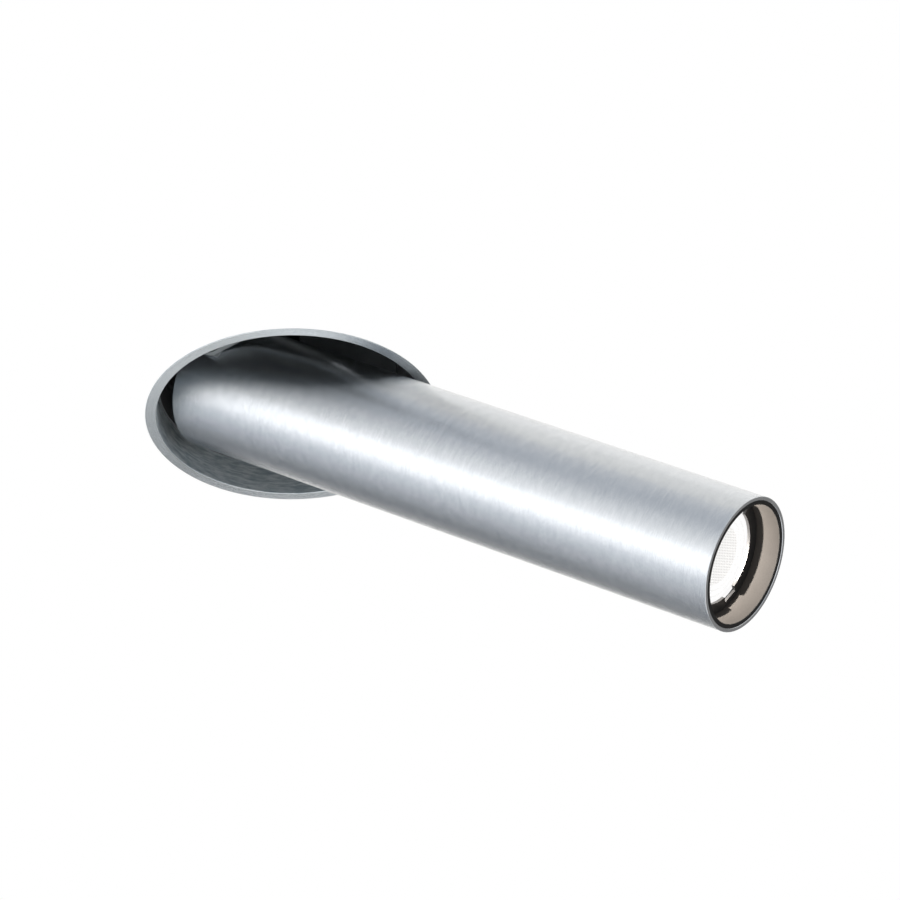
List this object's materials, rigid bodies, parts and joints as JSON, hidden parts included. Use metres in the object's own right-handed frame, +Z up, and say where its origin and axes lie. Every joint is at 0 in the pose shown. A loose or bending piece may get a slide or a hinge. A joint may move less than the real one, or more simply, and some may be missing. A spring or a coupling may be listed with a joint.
{
  "type": "soffit downlight",
  "caption": "Recessed soffit downlight with a slim cylinder lamp that tilts and turns out of a round trim ring, held up by folding spring clips.",
  "frame": {"origin": "centre of the soffit plane, where the trim ring's gasket seats", "axes": "+Z up into the soffit along the can's axis, +X the way the lamp leans out at full tilt"},
  "size_m": [0.3683, 0.1992, 0.357],
  "materials": {
    "satin_aluminium": "satin, finely brushed",
    "black_sheet": "matte black powder coat",
    "yoke_paint": "matte dark grey powder coat",
    "zinc_steel": "zinc plated",
    "spring_steel": "bright spring steel",
    "cast_aluminium": "bead blasted",
    "bronze": "machined",
    "black_plastic": "moulded",
    "rubber": "soft matte",
    "white_plastic": "moulded",
    "fibre": "pressed fibre",
    "nylon": "natural nylon",
    "board_white": "white solder mask on metal core",
    "optic": "clear moulded optic",
    "snoot_black": "fine textured black paint"
  },
  "bodies": {
    "housing": {"trim_ring": "satin_aluminium", "soffit_gasket": "rubber", "can_skirt": "black_sheet", "recess_can": "black_sheet", "collar_screws": "zinc_steel", "can_lid": "black_sheet", "lid_screws": "zinc_steel", "spindle_bush": "bronze", "pan_stop": "zinc_steel", "junction_box": "cast_aluminium", "junction_lid": "cast_aluminium", "box_screws": "zinc_steel", "terminal_block": "white_plastic", "gland_body": "black_plastic", "gland_nut": "black_plastic", "gland_seal": "rubber", "clip_bracket_1": "zinc_steel", "clip_bracket_2": "zinc_steel", "clip_bracket_3": "zinc_steel", "clip_pins": "zinc_steel", "clip_rivets": "zinc_steel", "clip_spring_1": "spring_steel", "clip_spring_2": "spring_steel", "clip_spring_3": "spring_steel"},
    "yoke": {"turntable": "yoke_paint", "pan_spindle": "zinc_steel", "pan_washer": "fibre", "pan_spring": "spring_steel", "pan_nut": "zinc_steel", "cheek_left": "yoke_paint", "cheek_right": "yoke_paint", "cheek_rivets": "zinc_steel", "tilt_bolts": "zinc_steel", "tilt_nuts": "zinc_steel", "tilt_washers": "nylon", "tilt_stops": "zinc_steel"},
    "lamp": {"tilt_arm_left": "yoke_paint", "tilt_arm_right": "yoke_paint", "arm_screws": "zinc_steel", "lamp_tube": "satin_aluminium", "rear_cap": "cast_aluminium", "rear_seal": "rubber", "lead_gland": "black_plastic", "driver_tray": "zinc_steel", "led_driver": "white_plastic", "heat_sink": "cast_aluminium", "led_board": "board_white", "led_holder": "white_plastic", "optic_lens": "optic", "lens_seal": "rubber", "lens_holder": "black_plastic", "snoot": "snoot_black", "snoot_seal": "rubber"},
    "clip_1": {"clip_arm_1": "spring_steel", "clip_pad_1": "rubber"},
    "clip_2": {"clip_arm_2": "spring_steel", "clip_pad_2": "rubber"},
    "clip_3": {"clip_arm_3": "spring_steel", "clip_pad_3": "rubber"}
  },
  "joints": [
    {"name": "pan", "type": "hinge", "parent": "housing", "child": "yoke", "pos_m": [0, 0, 0.13], "axis": [0, 0, 1], "range_deg": [-175, 175]},
    {"name": "tilt", "type": "hinge", "parent": "yoke", "child": "lamp", "pos_m": [0.0435, 0, 0.02638], "axis": [0, 1, 0], "range_deg": [0, 56.3]},
    {"name": "clip_fold_1", "type": "hinge", "parent": "housing", "child": "clip_1", "pos_m": [0.03477, 0.06022, 0.07], "axis": [0.866, -0.5, 0], "range_deg": [0, 145], "stiffness_Nm_per_rad": 0.06, "springref_deg": -34.38, "deforming": ["clip_spring_1"]},
    {"name": "clip_fold_2", "type": "hinge", "parent": "housing", "child": "clip_2", "pos_m": [-0.06953, 0, 0.07], "axis": [0, 1, 0], "range_deg": [0, 145], "stiffness_Nm_per_rad": 0.06, "springref_deg": -34.38, "deforming": ["clip_spring_2"]},
    {"name": "clip_fold_3", "type": "hinge", "parent": "housing", "child": "clip_3", "pos_m": [0.03477, -0.06022, 0.07], "axis": [-0.866, -0.5, 0], "range_deg": [0, 145], "stiffness_Nm_per_rad": 0.06, "springref_deg": -34.38, "deforming": ["clip_spring_3"]}
  ]
}
